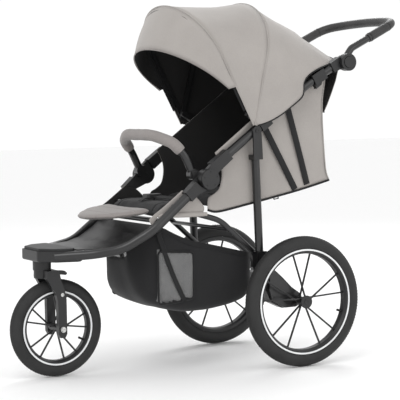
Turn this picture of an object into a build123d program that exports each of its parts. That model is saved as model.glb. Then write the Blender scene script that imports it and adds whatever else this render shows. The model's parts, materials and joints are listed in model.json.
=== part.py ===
from build123d import *
import os
from math import atan2, cos, degrees, radians, sin

os.makedirs("parts", exist_ok=True)

# Three-wheel pushchair. Millimetres and degrees, +Z up, -Y to the front, +X to the child's left.
# The origin lies on the floor under the middle of the length.
# A side place is (back, up): back counts rearward from the rear axle, up counts from the floor.

# Stance
rear_axle_y = 197.5
wheelbase = 704
track_half = 268.5
front_axle = (-wheelbase, 146)
rear_axle = (0, 199.5)

# Clearances
running_gap = 0.5  # beside a face that turns or slides
pin_gap = 0.3  # round a pivot pin, on the radius
seat_gap = 0.3  # between pieces that lie on each other
sleeve_gap = 0.2  # round a tube in its socket

# Wheels
front_tyre_section = 20
rear_tyre_section = 22
rim_depth = 14.5  # from the bead seat to the inner edge of the rim
ring_width = 5
spoke_pairs = 5
spoke_spread = 12.4
spoke_lean = 22
axle_radius = 5

# Frame tubes, oval, all in one lane beside the seat
tube_lane = 207
tube_width = 24
tube_height = 28
tube_wall = 2
fold_hub = (-294, 583)
hub_radius = 31
hub_outer = 228
upper_tube_low = (-264, 624)
upper_tube_bend = (66, 862)
handle_hub = (204, 929)
handle_hub_radius = 27
handle_hub_outer = 235

# Nose and steering
steering_back = -745
nose_low = 352
nose_high = 384
pad_thickness = 8
head_radius = 27.5
head_low = 323
steering_pin_radius = 8
fork_inner = 34
fork_outer = 52

# Rear frame
leg_pivot_along = 169  # up the upper tube from its foot
leg_top = 652
leg_foot = (-114, 342)
leg_radius = 12.5
bracket_plate = 6
link_lane = 181.5
link_width = 13
link_height = 17
link_front = (-400, 503)
link_rear = (-115, 347)
cross_beam = (-70, 240)
cross_beam_radius = 12.5

# Seat
seat_half = 170
seat_top = 512
seat_bottom = 486
recline_pivot = (-262, 494)
wall_lane = 190
wall_thickness = 3
wall_rise = 24  # of the cloth's top edge over a tube's centre line
backrest_length = 375
backrest_angle = 9.6
leg_rest_pivot = (-450, 490)
leg_rest_reach = 176
leg_rest_thickness = 13

# Canopy
canopy_pivot = (-145, 770)
canopy_tip = (-140, 733)
canopy_half = 231.5
canopy_cloth = 2.5
front_bow_angle = 116.8
front_bow_reach = 421
rear_bow_angle = 77.6
rear_bow_reach = 396
rear_hem_angle = 30.3
rear_hem_reach = 440
visor_foot = (-216, 846)
visor_angle = 143
visor_reach = 215

# Handle and bumper
handle_lane = 200
handle_radius = 11
grip_radius = 14
handle_corner_back = 398
handle_bar_back = 438
handle_bar_up = 1064
bumper_pivot = (-325, 597)
bumper_lane = 176
bumper_radius = 12
bumper_cover_radius = 17

# Basket
basket_half = 158
basket_wall = 3


def side_plane(x):
    """Upright plane at x: its own x runs back from the rear axle, its own y runs up."""
    return Plane(origin=(x, rear_axle_y, 0), x_dir=(0, 1, 0), z_dir=(1, 0, 0))


def plan_plane(z):
    """Level plane at z: its own x runs across, its own y runs back from the rear axle."""
    return Plane(origin=(0, rear_axle_y, z))


def spot(x, place):
    """The point at x with a side place."""
    return Vector(x, rear_axle_y + place[0], place[1])


def onward(place, angle, distance):
    """The side place at a distance from another, at an angle up from rearward."""
    return (place[0] + distance * cos(radians(angle)), place[1] + distance * sin(radians(angle)))


def slope(start, end):
    """The angle up from rearward of the line from one side place to another."""
    return degrees(atan2(end[1] - start[1], end[0] - start[0]))


def save(piece, label):
    """Names a finished piece and writes it."""
    piece.part.label = label
    export_step(piece.part, f"parts/{label}.step")


def run(route, bends, width, height, mode=Mode.ADD):
    """Sweeps an oval section along a route with rounded corners, in the part being built."""
    with BuildLine() as path:
        if bends:
            FilletPolyline(*route, radius=bends)
        else:
            Line(*route)
    start = Plane(origin=path.line @ 0, x_dir=(1, 0, 0), z_dir=path.line % 0)
    with BuildSketch(start) as section:
        Ellipse(width / 2, height / 2)
    sweep(section.sketch, path=path.line, mode=mode)


def bent_tube(route, bends, width, height, wall):
    """A hollow tube along a route."""
    with BuildPart() as tube:
        run(route, bends, width, height)
        run(route, bends, width - 2 * wall, height - 2 * wall, Mode.SUBTRACT)
    return tube


def across(place, radius, low, high, mode=Mode.ADD):
    """A round bar across the part, from x = low to x = high, in the part being built."""
    with BuildSketch(side_plane(low)) as disc:
        with Locations(place):
            Circle(radius)
    extrude(disc.sketch, amount=high - low, mode=mode)


def slab(corners, low, high, mode=Mode.ADD):
    """A plate with a side outline, from x = low to x = high, in the part being built."""
    with BuildSketch(side_plane(low)) as outline:
        with BuildLine():
            Polyline(*corners, close=True)
        make_face()
    extrude(outline.sketch, amount=high - low, mode=mode)


sides = (("left", 1), ("right", -1))

# Places that follow from the sizes above
tube_inner = tube_lane - tube_width / 2
tube_outer = tube_lane + tube_width / 2
upper_slope = slope(upper_tube_low, upper_tube_bend)
end_slope = 30
upper_tube_high = onward(upper_tube_bend, end_slope, 128)
lower_tube_bend = (-478, 438)
lower_tube_high = (-336, 554)
lower_slope = slope(lower_tube_high, lower_tube_bend)
leg_pivot = onward(upper_tube_low, upper_slope, leg_pivot_along)
leg_slope = slope(leg_pivot, leg_foot)
lower_route = [
    spot(92, (-742, 368)),
    spot(148, (-645, 374)),
    spot(178, (-563, 386)),
    spot(tube_lane, lower_tube_bend),
    spot(tube_lane, lower_tube_high),
]
lower_bends = [260, 170, 190]

# ---- Lower front frame ----


def mirrored(route, side):
    """The same route on the given side."""
    return [Vector(side * p.X, p.Y, p.Z) for p in route]


for name, side in sides:
    tube = bent_tube(mirrored(lower_route, side), lower_bends, tube_width, tube_height, tube_wall)
    save(tube, f"front_side_tube_{name}")

# The nose is one casting: a rounded deck that holds the tube ends, and the steering head below it.
with BuildPart() as nose:
    with BuildSketch(plan_plane(nose_low)):
        with BuildLine():
            Polyline(
                (-60, -784), (60, -784), (104, -742), (124, -672), (92, -652),
                (-92, -652), (-124, -672), (-104, -742), close=True,
            )
        make_face()
        fillet(vertices(), 16)
    extrude(amount=nose_high - nose_low)
    fillet(edges().filter_by(Plane.XY).group_by(Axis.Z)[0], 6)
    with BuildSketch(plan_plane(head_low)):
        with Locations((0, steering_back)):
            Circle(head_radius)
    extrude(amount=nose_low - head_low + 1)
    with BuildSketch(plan_plane(head_low)):
        with Locations((0, steering_back)):
            Circle(steering_pin_radius + pin_gap)
    extrude(amount=26, mode=Mode.SUBTRACT)
    for name, side in sides:
        run(mirrored(lower_route, side), lower_bends, tube_width + 2 * sleeve_gap,
            tube_height + 2 * sleeve_gap, Mode.SUBTRACT)
save(nose, "nose_platform")

with BuildPart() as pad:
    with BuildSketch(plan_plane(nose_high)):
        with BuildLine():
            Polyline(
                (-56, -778), (56, -778), (97, -739), (113, -682), (-113, -682), (-97, -739), close=True,
            )
        make_face()
        fillet(vertices(), 14)
    extrude(amount=pad_thickness)
    fillet(edges().group_by(Axis.Z)[-1], 2.5)
save(pad, "nose_pad")

# The footrest is a thin dished sheet between the tubes.
with BuildPart() as footrest:
    slab(
        [(-674, 387), (-600, 389), (-548, 400), (-500, 424), (-460, 452),
         (-457, 449), (-498, 421), (-547, 397), (-600, 386), (-650, 384.5), (-674, 384.5)],
        -190, 190,
    )
    with BuildSketch(plan_plane(nose_low)):
        with BuildLine():
            Polyline(
                (-100, -674), (100, -674), (124, -648), (152, -575), (178, -515), (188, -455),
                (-188, -455), (-178, -515), (-152, -575), (-124, -648), close=True,
            )
        make_face()
    extrude(amount=150, mode=Mode.INTERSECT)
save(footrest, "footrest_panel")

# Lower hinge halves: a socket over the tube end, an inner disc and a lug for the bumper bar.
# The socket is cut back above and in front of the hub, where the upper hinge comes round as it folds.
fold_relief = [fold_hub]
for angle, reach in ((140, 48), (180, 48), (187, 47), (193, 42.5), (200, 39), (210, 36), (228, 33)):
    fold_relief.append(onward(fold_hub, angle, reach))
for name, side in sides:
    with BuildPart() as hinge:
        across(fold_hub, hub_radius - 1, side * 192.5, side * 206)
        with BuildSketch(side_plane(side * 193.4)):
            with BuildLine():
                Polyline(
                    onward(fold_hub, 150, 27), onward(fold_hub, 285, 27),
                    onward(lower_tube_high, lower_slope + 72, 17),
                    onward(onward(lower_tube_high, lower_slope, 34), lower_slope + 90, 17),
                    onward(onward(lower_tube_high, lower_slope, 34), lower_slope - 90, 17), close=True,
                )
            make_face()
        extrude(amount=side * 28)
        across(fold_hub, hub_radius + 1, side * 206, side * 230, Mode.SUBTRACT)
        slab(fold_relief, side * 206, side * 230, Mode.SUBTRACT)
        run(mirrored(lower_route, side), lower_bends, tube_width + 2 * sleeve_gap,
            tube_height + 2 * sleeve_gap, Mode.SUBTRACT)
        slab([onward(fold_hub, 100, 24), onward(fold_hub, 200, 24), onward(bumper_pivot, 230, 13),
              onward(bumper_pivot, 140, 14), onward(bumper_pivot, 60, 13)], side * 190, side * 193)
        across(bumper_pivot, 5, side * 178, side * 191)
        across(fold_hub, 6 + pin_gap, side * 189, side * 230, Mode.SUBTRACT)
    save(hinge, f"lower_hinge_{name}")


# ---- Seat on the front frame ----

# A cross tube between the front side tubes carries the seat.
cross_tube_place = (-446, 463.8)
with BuildPart() as cross_tube:
    across(cross_tube_place, 8, -tube_inner + seat_gap, tube_inner - seat_gap)
    across(cross_tube_place, 6.5, -tube_inner, tube_inner, Mode.SUBTRACT)
save(cross_tube, "seat_cross_tube")

with BuildPart() as cushion:
    slab([(-449, 482), (-449, 472.1), (-268, 474), (-260, 482), (-280, 506), (-290, seat_top),
          (-400, seat_top), (-430, 506), (-434, 482)], -seat_half, seat_half)
    fillet(edges().filter_by(Axis.X), 2)
    across(recline_pivot, 9 + running_gap, -seat_half - 1, seat_half + 1, Mode.SUBTRACT)
save(cushion, "seat_cushion")

# Cloth side walls of the seat, inside the side tubes, with a padded roll along the bottom.
with BuildPart() as skirts:
    for name, side in sides:
        slab([(-472, 452), (-440, 487), (-300, 482), (-296, 500), onward(fold_hub, 235, 60),
              onward(fold_hub, 212, 72), onward(onward(fold_hub, lower_slope, 78), lower_slope - 90, wall_rise),
              onward(onward(lower_tube_high, lower_slope, 110), lower_slope - 90, wall_rise), (-482, 470)],
             side * wall_lane, side * (wall_lane + wall_thickness))
        slab([(-440, 487.5), (-436, 473), (-292, 470), (-286, 480)],
             side * (wall_lane - 1.5), side * (wall_lane + 4.5))
        across(link_front, 11, side * (wall_lane - 3), side * (wall_lane + 6), Mode.SUBTRACT)
        across(cross_tube_place, 8 + seat_gap, side * (wall_lane - 3), side * (wall_lane + 6), Mode.SUBTRACT)
save(skirts, "seat_skirts")

# Harness: the crotch strap rises through the cushion front and carries the buckle.
with BuildPart() as buckle:
    with BuildSketch(Plane(origin=spot(0, (-372, seat_top + 7)), z_dir=(0, 0, 1))):
        RectangleRounded(44, 52, 9)
    extrude(amount=14)
    fillet(edges().filter_by(Plane.XY), 3)
    with BuildSketch(Plane(origin=spot(0, (-372, seat_top + seat_gap)), z_dir=(0, 0, 1))):
        Rectangle(24, 3)
    extrude(amount=7 - seat_gap)
save(buckle, "harness_buckle")

# ---- Basket ----

basket_outline = [
    (-499, 372), (-497, 300), (-484, 246), (-452, 214), (-400, 192), (-335, 178), (-262, 178), (-190, 187),
    (-130, 202), (-112, 222), (-108, 337), (-216, 364), (-330, 390), (-428, 436), (-462, 416),
]
basket_plan = [
    (-72, -499), (72, -499), (126, -474), (basket_half, -424), (basket_half, -130), (140, -106),
    (-140, -106), (-basket_half, -130), (-basket_half, -424), (-126, -474),
]


def basket_body(wall):
    """The basket's bag shape, a wall smaller all round."""
    with BuildPart() as bag:
        with BuildSketch(side_plane(-basket_half)):
            with BuildLine():
                Polyline(*basket_outline, close=True)
            make_face()
            if wall:
                offset(amount=-wall, kind=Kind.INTERSECTION)
        extrude(amount=2 * basket_half)
        with BuildSketch(plan_plane(150)):
            with BuildLine():
                Polyline(*basket_plan, close=True)
            make_face()
            if wall:
                offset(amount=-wall, kind=Kind.INTERSECTION)
        extrude(amount=300, mode=Mode.INTERSECT)
    return bag.part


with BuildPart() as basket:
    add(basket_body(0))
    hollow = basket_body(basket_wall)
    add(hollow, mode=Mode.SUBTRACT)
    add(hollow.moved(Location((0, 0, 30))), mode=Mode.SUBTRACT)
    for name, side in sides:
        # A webbing tab hangs the front on the seat's cross tube, another ties the rear to the leg.
        slab([(-433, 420), (-422, 420), (-422, 440), (-438, 455.5), (-450, 455.5)],
             side * 151, side * (basket_half - 1))
        slab([(-121, 300), (-109, 300), (-109, 318), (-121, 318)], side * (basket_half - 30), side * 193.6)
        add(hollow, mode=Mode.SUBTRACT)
save(basket, "basket")

# ---- Front fork, steering and wheel ----

with BuildPart() as fork:
    with BuildSketch(plan_plane(299)):
        with Locations((0, steering_back)):
            Circle(25)
        with Locations((0, -731)):
            RectangleRounded(2 * fork_outer, 40, 10)
    extrude(amount=head_low - running_gap - 299)
    for name, side in sides:
        slab([(-750, 321), (-751, 300), (-738, 276), (-724, 256), (-717.5, 230), (-717, 132), (-711, 121),
              (-696, 121), (-690, 132), (-690, 236), (-695, 262), (-706, 292), (-711, 321)],
             side * fork_inner, side * fork_outer)
        across(front_axle, axle_radius + 0.2, side * (fork_inner - 1), side * (fork_outer + 1), Mode.SUBTRACT)
save(fork, "front_fork")

with BuildPart() as steering_pin:
    with BuildSketch(plan_plane(head_low - running_gap)):
        with Locations((0, steering_back)):
            Circle(steering_pin_radius)
    extrude(amount=25)
save(steering_pin, "steering_pin")

# The swivel lock is a paddle behind the crown that turns down on a short pin.
swivel_pivot = (-705.5, 313)
with BuildPart() as swivel_lock:
    across(swivel_pivot, 5, -12, 12)
    slab([onward(swivel_pivot, 90, 5), (-676, 316), (-668, 309), (-672, 303), onward(swivel_pivot, 270, 5)],
         -11, 11)
save(swivel_lock, "swivel_lock_lever")

with BuildPart() as front_axle_bar:
    across(front_axle, axle_radius, -fork_outer - 1, fork_outer + 1)
    for name, side in sides:
        across(front_axle, 8.5, side * (fork_outer + 0.2), side * (fork_outer + 5))
save(front_axle_bar, "front_axle")


def wheel_axis(x, place):
    """The axis of a wheel at x."""
    return Axis(spot(x, place), (1, 0, 0))


def wheel_profile(x, place):
    """Upright plane through a wheel's axis: its own x runs across, its own y runs out to the rim."""
    return Plane(origin=spot(x, place), x_dir=(1, 0, 0), z_dir=(0, -1, 0))


def make_wheel(label, suffix, x, place, section, outward, hub_half, hub_radius, phase):
    """Tyre with its valve, spoked rim and reflecting ring of one wheel, with its outer face outward."""
    seat = place[1] - 2 * section + 5.8
    rim_half = section - 5
    inner = seat - rim_depth
    with BuildPart() as rim:
        with BuildSketch(wheel_profile(x, place)):
            with BuildLine():
                Polyline(
                    (-rim_half, seat), (-rim_half, inner + 5), (-rim_half + 7, inner), (rim_half - 7, inner),
                    (rim_half, inner + 5), (rim_half, seat), (rim_half - 3, seat), (rim_half - 4, inner + 7),
                    (rim_half - 8, inner + 3), (-rim_half + 8, inner + 3), (-rim_half + 4, inner + 7),
                    (-rim_half + 3, seat), close=True,
                )
            make_face()
            with Locations((0, hub_radius / 2)):
                Rectangle(2 * hub_half, hub_radius)
        revolve(axis=wheel_axis(x, place))
        for pair in range(spoke_pairs):
            for lean in (1, -1):
                far = phase + 360 / spoke_pairs * pair + lean * spoke_spread
                near = phase + 360 / spoke_pairs * pair - lean * spoke_lean
                foot = spot(x + lean * hub_half * 0.45, onward(place, near, hub_radius - 2))
                tip = spot(x + lean * 2, onward(place, far, inner + 1.5))
                with BuildSketch(Plane(origin=foot, x_dir=(1, 0, 0), z_dir=tip - foot)) as spoke:
                    RectangleRounded(6, 5, 1.5)
                extrude(spoke.sketch, amount=(tip - foot).length)
        across(place, axle_radius + pin_gap, x - hub_half - 1, x + hub_half + 1, Mode.SUBTRACT)
        valve_foot = spot(x, onward(place, phase - 35, inner - 2))
        valve_out = spot(x, onward(place, phase - 35, inner + 12)) - valve_foot
        with BuildSketch(Plane(origin=valve_foot, z_dir=valve_out)) as valve_hole:
            Circle(4)
        extrude(valve_hole.sketch, amount=10, mode=Mode.SUBTRACT)
    save(rim, f"{label}_rim{suffix}")
    with BuildPart() as ring:
        with BuildSketch(wheel_profile(x, place)):
            with Locations((outward * (rim_half + 1), seat - ring_width / 2)):
                Rectangle(1.4, ring_width)
        revolve(axis=wheel_axis(x, place))
    save(ring, f"{label}_reflector{suffix}")
    with BuildPart() as tyre:
        with BuildSketch(wheel_profile(x, place)):
            with Locations((0, place[1] - section)):
                Circle(section)
                Circle(section - 5, mode=Mode.SUBTRACT)
            with Locations((0, seat - 10)):
                Rectangle(2 * section, 20 + 2 * seat_gap, mode=Mode.SUBTRACT)
        revolve(axis=wheel_axis(x, place))
        with BuildSketch(Plane(origin=valve_foot - valve_out, z_dir=valve_out)) as stem:
            Circle(3.4)
        extrude(stem.sketch, amount=26)
    save(tyre, f"{label}_tyre{suffix}")


make_wheel("front", "", 0, front_axle, front_tyre_section, 1, fork_inner - 2 * running_gap, 12, 8.8)
for name, side in sides:
    make_wheel("rear", f"_{name}", side * track_half, rear_axle, rear_tyre_section, side, 20, 14, 18.8)
    with BuildPart() as cap:
        across(rear_axle, 20, side * (track_half + 20 + seat_gap), side * (track_half + 25))
        fillet(edges().filter_by(GeomType.CIRCLE).group_by(Axis.X)[-1 if side > 0 else 0], 2)
    save(cap, f"rear_hub_cap_{name}")

# ---- Upper frame ----

upper_route = [spot(tube_lane, upper_tube_low), spot(tube_lane, upper_tube_bend), spot(tube_lane, upper_tube_high)]
upper_bends = [400]
neck_start = onward(upper_tube_bend, end_slope, 98)
for name, side in sides:
    with BuildPart() as tube:
        add(bent_tube(mirrored(upper_route, side), upper_bends, tube_width, tube_height, tube_wall).part)
        across(leg_pivot, 6 + pin_gap, side * 190, side * 225, Mode.SUBTRACT)
    save(tube, f"upper_tube_{name}")

    with BuildPart() as upper_hinge:
        across(fold_hub, hub_radius, side * (206 + running_gap), side * hub_outer)
        socket_foot = onward(upper_tube_low, upper_slope + 180, 14)
        socket_head = onward(upper_tube_low, upper_slope, 54)
        slab([onward(socket_foot, upper_slope - 90, 20), onward(socket_head, upper_slope - 90, 17),
              onward(socket_head, upper_slope + 90, 17), onward(socket_foot, upper_slope + 90, 17)],
             side * 193.4, side * 221)
        slab([onward(fold_hub, upper_slope - 100, 26), onward(socket_foot, upper_slope - 80, 20),
              onward(socket_foot, upper_slope + 70, 17), onward(fold_hub, upper_slope + 90, 26)],
             side * 206.5, side * 221)
        across(fold_hub, hub_radius + 1, side * 190, side * (206 + running_gap), Mode.SUBTRACT)
        run([spot(side * tube_lane, upper_tube_low), spot(side * tube_lane, onward(upper_tube_low, upper_slope, 60))],
            [], tube_width + 2 * sleeve_gap, tube_height + 2 * sleeve_gap, Mode.SUBTRACT)
        across(fold_hub, 6 + pin_gap, side * 200, side * 240, Mode.SUBTRACT)
    save(upper_hinge, f"upper_hinge_{name}")

# Hinge pins with their round screwed caps, one on each side.
with BuildPart() as hinge_pins:
    for name, side in sides:
        across(fold_hub, 6, side * 193, side * (hub_outer + 2))
        across(fold_hub, hub_radius - 1, side * (hub_outer + 0.2), side * (hub_outer + 4))
        with BuildSketch(side_plane(side * (hub_outer + 4))) as marks:
            with Locations(fold_hub):
                with PolarLocations(22, 5, start_angle=20):
                    Circle(2)
        extrude(marks.sketch, amount=-side * 1.5, mode=Mode.SUBTRACT)
save(hinge_pins, "hinge_pins")

# A grip slides along each upper tube to release the fold; it carries a thumb lever outside.
trigger_start = onward(upper_tube_bend, end_slope, 20)
for name, side in sides:
    with BuildPart() as trigger:
        trigger_end = onward(trigger_start, end_slope, 48)
        slab([onward(trigger_start, end_slope - 90, 17), onward(trigger_end, end_slope - 90, 17),
              onward(trigger_end, end_slope + 90, 17), onward(trigger_start, end_slope + 90, 17)],
             side * 193.4, side * 222)
        slab([onward(trigger_start, end_slope - 90, 14), onward(trigger_start, end_slope - 97, 27),
              onward(onward(trigger_start, end_slope, 20), end_slope - 90, 25),
              onward(onward(trigger_start, end_slope, 30), end_slope - 90, 15)], side * 202, side * 216)
        run([spot(side * tube_lane, onward(trigger_start, end_slope, -20)),
             spot(side * tube_lane, onward(trigger_start, end_slope, 80))],
            [], tube_width + 4 * running_gap, tube_height + 4 * running_gap, Mode.SUBTRACT)
    save(trigger, f"fold_trigger_{name}")

# Canopy mounts: clips over the upper tubes, each with a pivot pin for the two bows.
mount_foot = onward(leg_pivot, upper_slope, 20)
mount_head = onward(mount_foot, upper_slope, 40)
with BuildPart() as mounts:
    for name, side in sides:
        clip = [onward(mount_foot, upper_slope - 90, 17), onward(mount_head, upper_slope - 90, 17),
                onward(mount_head, upper_slope + 90, 17), onward(mount_foot, upper_slope + 90, 17)]
        slab(clip, side * 193.4, side * 222)
        slab([onward(mount_head, upper_slope + 90, 16), onward(canopy_pivot, 10, 12),
              onward(canopy_pivot, 60, 13), onward(canopy_pivot, 120, 13), onward(canopy_pivot, 180, 12),
              onward(mount_foot, upper_slope + 90, 16)], side * 200, side * 215.5)
        across(canopy_pivot, 5, side * 200, side * 228)
        run([spot(side * tube_lane, onward(mount_foot, upper_slope, -30)),
             spot(side * tube_lane, onward(mount_foot, upper_slope, 80))],
            [], tube_width + 2 * sleeve_gap, tube_height + 2 * sleeve_gap, Mode.SUBTRACT)
save(mounts, "canopy_mounts")

# Handle hubs: the outer shell of each tilting joint, with a neck over the tube end.
for name, side in sides:
    with BuildPart() as hub:
        across(handle_hub, handle_hub_radius, side * 212, side * handle_hub_outer)
        neck_end = onward(neck_start, end_slope, 42)
        slab([onward(neck_start, end_slope - 90, 16.5), onward(neck_end, end_slope - 90, 18),
              onward(neck_end, end_slope + 90, 16.5), onward(neck_start, end_slope + 90, 16.5)],
             side * 193.4, side * 222)
        across(handle_hub, handle_hub_radius + 1.5, side * 190, side * 212, Mode.SUBTRACT)
        run([spot(side * tube_lane, onward(neck_start, end_slope, -10)), spot(side * tube_lane, upper_tube_high)],
            [], tube_width + 2 * sleeve_gap, tube_height + 2 * sleeve_gap, Mode.SUBTRACT)
        across(handle_hub, 18 + running_gap, side * (handle_hub_outer - 12), side * (handle_hub_outer + 1),
               Mode.SUBTRACT)
        across(handle_hub, 5, side * 196, side * 214)
    save(hub, f"handle_hub_{name}")
    with BuildPart() as button:
        across(handle_hub, 18, side * (handle_hub_outer - 8), side * (handle_hub_outer + 3))
        fillet(edges().filter_by(GeomType.CIRCLE).group_by(Axis.X)[-1 if side > 0 else 0], 2)
    save(button, f"handle_button_{name}")

# ---- Handle ----

handle_rise = (236, 973)
handle_corner = spot(handle_lane - 3, (handle_corner_back, 1052))
grip_start = spot(handle_lane, handle_rise) * 0.6 + handle_corner * 0.4


def handle_route(first):
    """The handle's bow from one arm to the other, starting from a list of points on the left arm."""
    left = first + [handle_corner, spot(120, (handle_bar_back - 3, handle_bar_up - 2))]
    middle = [spot(0, (handle_bar_back + 3, handle_bar_up + 1))]
    return left + middle + mirrored(left, -1)[::-1]


with BuildPart() as handle:
    arm = [spot(handle_lane, onward(handle_hub, 55, 12)), spot(handle_lane, handle_rise)]
    run(handle_route(arm), [34, 70, 200, 600, 200, 70, 34], 2 * handle_radius, 2 * handle_radius)
    for name, side in sides:
        across(handle_hub, 24, side * 196.5, side * (212 - running_gap))
        across(handle_hub, 5 + pin_gap, side * 190, side * 230, Mode.SUBTRACT)
save(handle, "handle_tube")

with BuildPart() as grip:
    run(handle_route([grip_start]), [70, 200, 600, 200, 70], 2 * grip_radius, 2 * grip_radius)
    run(handle_route([grip_start]), [70, 200, 600, 200, 70], 2 * handle_radius + 0.4, 2 * handle_radius + 0.4,
        Mode.SUBTRACT)
save(grip, "handle_grip")

# ---- Seat shell and recline straps ----

# The cloth shell hangs between the upper tubes; it is open in front and on top.
shell_side = [
    onward(fold_hub, 282, 60), (-284, 489), (-248, 482), (28, 533), (152, 562), (137, 600), (128, 813), (147, 899),
    (145, 925), onward(upper_tube_bend, upper_slope + 90, wall_rise + 2),
    onward(onward(fold_hub, upper_slope, 76), upper_slope + 90, 40), onward(fold_hub, upper_slope, 70),
    onward(fold_hub, 5, 60), onward(fold_hub, 330, 60),
]
with BuildPart() as shell:
    for name, side in sides:
        slab(shell_side, side * wall_lane, side * (wall_lane + wall_thickness))
    slab([(143, 893), (125, 813), (134, 600), (150, 561), (153, 561), (137, 600), (128, 813), (146, 893)],
         -wall_lane - 0.5, wall_lane + 0.5)
save(shell, "seat_shell")

with BuildPart() as straps:
    for name, side in sides:
        for high, low in (((-80, 728), (25, 538)), ((3, 786), (69, 552))):
            slab([(high[0] - 10, high[1] - 4), (high[0] + 10, high[1] + 4), (low[0] + 10, low[1] + 2),
                  (low[0] - 10, low[1] - 2)], side * 193.3, side * 194.5)
save(straps, "recline_straps")

# ---- Backrest, leg rest ----

with BuildPart() as backrest:
    across(recline_pivot, 9, -seat_half + 1, seat_half - 1)
    slab([onward(recline_pivot, 279.6, 5), onward(onward(recline_pivot, backrest_angle, backrest_length), 279.6, 5),
          onward(onward(recline_pivot, backrest_angle, backrest_length), 99.6, 20),
          onward(onward(recline_pivot, backrest_angle, 22), 99.6, 20), onward(recline_pivot, 110, 9)],
         -seat_half, seat_half)
save(backrest, "backrest")

with BuildPart() as harness:
    for name, side in sides:
        low = onward(onward(recline_pivot, backrest_angle, 60), 99.6, 20 + seat_gap)
        high = onward(low, backrest_angle, 230)
        slab([low, high, onward(high, 99.6, 12), onward(low, 99.6, 12)], side * 45, side * 85)
save(harness, "shoulder_straps")

# The adjuster hangs under the backrest board, with its wire ring.
adjuster_place = onward(onward(recline_pivot, backrest_angle, 262), 279.6, 5 + seat_gap)
with BuildPart() as adjuster:
    slab([onward(adjuster_place, 189.6, 14), onward(adjuster_place, 9.6, 14),
          onward(onward(adjuster_place, 9.6, 11), 279.6, 15), onward(onward(adjuster_place, 189.6, 11), 279.6, 15)],
         108, 132)
    slab([onward(onward(adjuster_place, 189.6, 9), 279.6, 14), onward(onward(adjuster_place, 9.6, 9), 279.6, 14),
          onward(onward(adjuster_place, 9.6, 9), 279.6, 28), onward(onward(adjuster_place, 189.6, 9), 279.6, 28)],
         118.5, 121.5)
    slab([onward(onward(adjuster_place, 189.6, 6.5), 279.6, 16), onward(onward(adjuster_place, 9.6, 6.5), 279.6, 16),
          onward(onward(adjuster_place, 9.6, 6.5), 279.6, 25.5),
          onward(onward(adjuster_place, 189.6, 6.5), 279.6, 25.5)],
         118, 122, Mode.SUBTRACT)
save(adjuster, "recline_adjuster")

leg_rest_slope = 187
with BuildPart() as leg_rest:
    across(leg_rest_pivot, 7.5, -150, 150)
    with BuildSketch(Plane(origin=spot(0, onward(leg_rest_pivot, leg_rest_slope - 90, 6)), x_dir=(1, 0, 0),
                           z_dir=spot(0, onward(leg_rest_pivot, leg_rest_slope - 90, 1)) - spot(0, leg_rest_pivot))):
        with BuildLine():
            Polyline((-150, 0), (150, 0), (154, -60), (126, -112), (76, -152), (24, -leg_rest_reach),
                     (-24, -leg_rest_reach), (-76, -152), (-126, -112), (-154, -60), close=True)
        make_face()
        fillet(vertices().group_by(Axis.Y)[0], 20)
    extrude(amount=-leg_rest_thickness)
save(leg_rest, "leg_rest")

# ---- Bumper bar ----

bumper_route_left = [
    spot(bumper_lane, onward(bumper_pivot, 110, 8)), spot(bumper_lane, (-352, 656)), spot(bumper_lane - 14, (-384, 694)),
    spot(bumper_lane - 92, (-414, 716)),
]
cover_start = bumper_route_left[1] * 0.7 + bumper_route_left[2] * 0.3
with BuildPart() as bumper:
    run(bumper_route_left + mirrored(bumper_route_left, -1)[::-1], [70, 60, 120, 120, 60, 70],
        2 * bumper_radius, 2 * bumper_radius)
    for name, side in sides:
        across(bumper_pivot, 16, side * 164, side * 189.4)
        across(bumper_pivot, 5 + pin_gap, side * 177.5, side * 192, Mode.SUBTRACT)
save(bumper, "bumper_bar")

# ---- Rear frame ----

leg_lane = 206.5
socket_top = onward(leg_pivot, leg_slope, 72)
leg_start = onward(leg_pivot, leg_slope, 74)
for name, side in sides:
    leg = bent_tube([spot(side * leg_lane, leg_start), spot(side * leg_lane, leg_foot)], [],
                    2 * leg_radius, 2 * leg_radius, tube_wall)
    save(leg, f"rear_leg_{name}")

with BuildPart() as brackets:
    for name, side in sides:
        across(leg_pivot, 15, side * 219.8, side * (219.8 + bracket_plate))
        slab([onward(leg_pivot, leg_slope - 90, 14.5), onward(socket_top, leg_slope - 90, 15.5),
              onward(onward(socket_top, leg_slope, 15), leg_slope - 90, 15.5),
              onward(onward(socket_top, leg_slope, 15), leg_slope + 90, 15.5),
              onward(socket_top, leg_slope + 90, 15.5), onward(leg_pivot, leg_slope + 90, 14.5)],
             side * 219.8, side * (219.8 + bracket_plate))
        slab([onward(socket_top, leg_slope - 90, 15.5),
              onward(onward(socket_top, leg_slope, 15), leg_slope - 90, 15.5),
              onward(onward(socket_top, leg_slope, 15), leg_slope + 90, 15.5),
              onward(socket_top, leg_slope + 90, 15.5)], side * 193.4, side * 222)
        across(leg_pivot, 6, side * 196, side * 222)
        run([spot(side * leg_lane, leg_start), spot(side * leg_lane, leg_foot)], [],
            2 * leg_radius + 2 * sleeve_gap, 2 * leg_radius + 2 * sleeve_gap, Mode.SUBTRACT)
save(brackets, "leg_brackets")

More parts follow.
